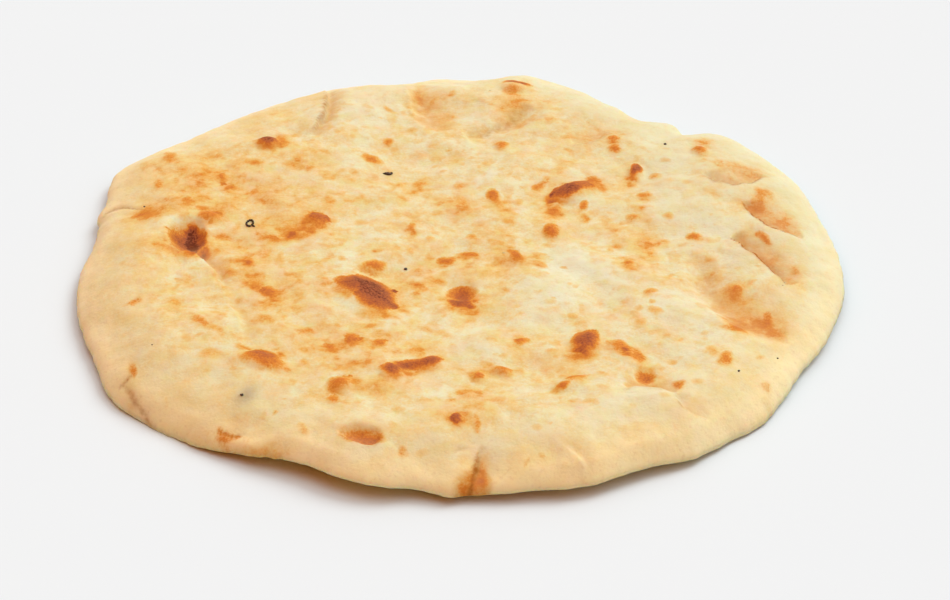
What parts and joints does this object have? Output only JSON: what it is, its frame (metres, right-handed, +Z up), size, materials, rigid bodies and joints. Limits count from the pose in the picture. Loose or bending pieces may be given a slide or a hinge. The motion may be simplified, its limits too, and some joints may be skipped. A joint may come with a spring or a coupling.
{
  "type": "naan bread",
  "caption": "Whole round naan, a flat leavened bread with a puffed pale rim, pressed hollows, folds and browned blisters, lying flat.",
  "frame": {"origin": "under the middle of the bread, on the surface that it lies on", "axes": "+Z up out of the browned top, +X across the bread to the viewer's right, +Y away from the viewer"},
  "size_m": [0.2444, 0.235, 0.0152],
  "materials": {
    "crust": null
  },
  "bodies": {
    "root": {"naan": "crust"}
  },
  "joints": []
}
